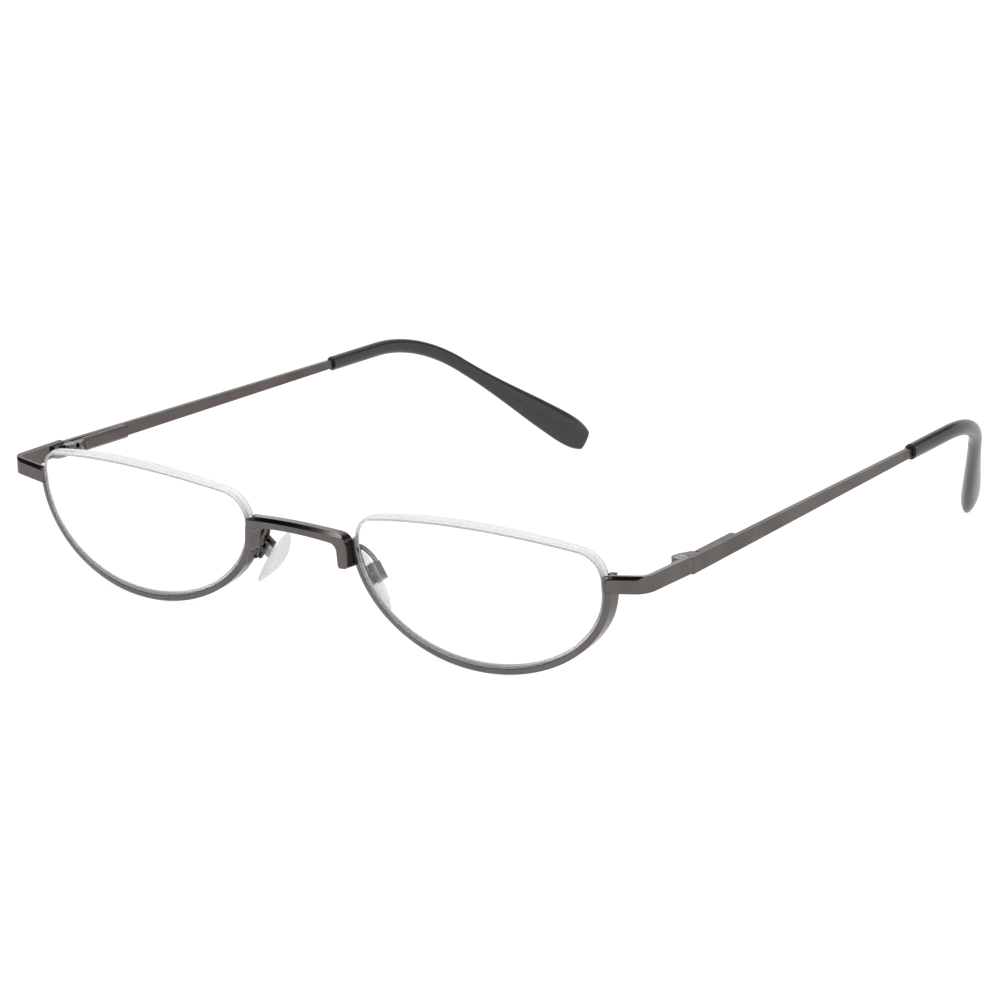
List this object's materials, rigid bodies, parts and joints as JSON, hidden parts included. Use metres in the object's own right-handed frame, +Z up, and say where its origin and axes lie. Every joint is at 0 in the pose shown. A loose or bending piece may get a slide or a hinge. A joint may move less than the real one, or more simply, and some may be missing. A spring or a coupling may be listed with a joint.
{
  "type": "half eye reading glasses",
  "caption": "Half-rim reading glasses with low half-moon lenses in wire lower rims, a metal bridge, sprung folding temples and bent black tips.",
  "frame": {"origin": "on the ground under the middle of the open glasses, midway between the front and the tips' ends", "axes": "+X to the wearer's left, +Y from the front to the tips, +Z up"},
  "size_m": [0.1368, 0.1368, 0.026],
  "materials": {
    "gunmetal": "polished gunmetal plating",
    "screw_steel": "bright, slotted",
    "spring_steel": "drawn wire",
    "brass": "turned",
    "lens": "clear, polished, with a matt edge",
    "clear_nylon": "clear nylon",
    "white_nylon": "moulded nylon",
    "clear_silicone": "clear, soft, slightly matt",
    "black_tip": "gloss black moulding"
  },
  "bodies": {
    "front": {"bridge": "gunmetal", "left_rim": "gunmetal", "left_lens": "lens", "left_rim_liner": "clear_nylon", "left_lens_cord": "clear_nylon", "left_end_piece": "gunmetal", "left_hinge_leaf": "gunmetal", "left_hinge_screw": "screw_steel", "left_pad_arm": "gunmetal", "left_pad_box": "gunmetal", "left_pad_screw": "screw_steel", "right_rim": "gunmetal", "right_lens": "lens", "right_rim_liner": "clear_nylon", "right_lens_cord": "clear_nylon", "right_end_piece": "gunmetal", "right_hinge_leaf": "gunmetal", "right_hinge_screw": "screw_steel", "right_pad_arm": "gunmetal", "right_pad_box": "gunmetal", "right_pad_screw": "screw_steel"},
    "left_bush": {"left_hinge_bush": "white_nylon"},
    "left_tongue": {"left_spring_tongue": "gunmetal"},
    "left_temple": {"left_spring_housing": "gunmetal", "left_spring_stop": "brass", "left_closing_spring": "spring_steel", "left_temple_bar": "gunmetal", "left_temple_tip": "black_tip"},
    "left_pad": {"left_nose_pad": "clear_silicone"},
    "right_bush": {"right_hinge_bush": "white_nylon"},
    "right_tongue": {"right_spring_tongue": "gunmetal"},
    "right_temple": {"right_spring_housing": "gunmetal", "right_spring_stop": "brass", "right_closing_spring": "spring_steel", "right_temple_bar": "gunmetal", "right_temple_tip": "black_tip"},
    "right_pad": {"right_nose_pad": "clear_silicone"}
  },
  "joints": [
    {"name": "left_fold", "type": "hinge", "parent": "front", "child": "left_bush", "pos_m": [0.066, -0.05258, 0.01934], "axis": [0, -0.0663, 0.9978], "range_deg": [0, 85]},
    {"name": "left_flex", "type": "hinge", "parent": "left_bush", "child": "left_temple", "pos_m": [0.0684, -0.05256, 0.01934], "axis": [0, 0.0663, -0.9978], "range_deg": [0, 8], "stiffness_Nm_per_rad": 0.3, "springref_deg": -2.86},
    {"name": "left_spring_slide", "type": "slide", "parent": "left_temple", "child": "left_tongue", "axis": [0.0506, -0.9965, -0.0662], "range_m": [0, 0.0004], "deforming": ["left_closing_spring"]},
    {"name": "left_pad_rock", "type": "hinge", "parent": "front", "child": "left_pad", "pos_m": [0.01263, -0.05995, 0.01141], "axis": [0, 1, 0.0035], "range_deg": [-8, 8]},
    {"name": "right_fold", "type": "hinge", "parent": "front", "child": "right_bush", "pos_m": [-0.066, -0.05258, 0.01934], "axis": [0, 0.0663, -0.9978], "range_deg": [0, 70]},
    {"name": "right_flex", "type": "hinge", "parent": "right_bush", "child": "right_temple", "pos_m": [-0.0684, -0.05256, 0.01934], "axis": [0, -0.0663, 0.9978], "range_deg": [0, 8], "stiffness_Nm_per_rad": 0.3, "springref_deg": -2.86},
    {"name": "right_spring_slide", "type": "slide", "parent": "right_temple", "child": "right_tongue", "axis": [-0.0506, -0.9965, -0.0662], "range_m": [0, 0.0004], "deforming": ["right_closing_spring"]},
    {"name": "right_pad_rock", "type": "hinge", "parent": "front", "child": "right_pad", "pos_m": [-0.01263, -0.05995, 0.01141], "axis": [0, 1, 0.0035], "range_deg": [-8, 8]}
  ],
  "couplings": [
    {"joint": "left_spring_slide", "follows": "left_flex", "m_per_rad": 0.00239},
    {"joint": "right_spring_slide", "follows": "right_flex", "m_per_rad": 0.00239}
  ]
}
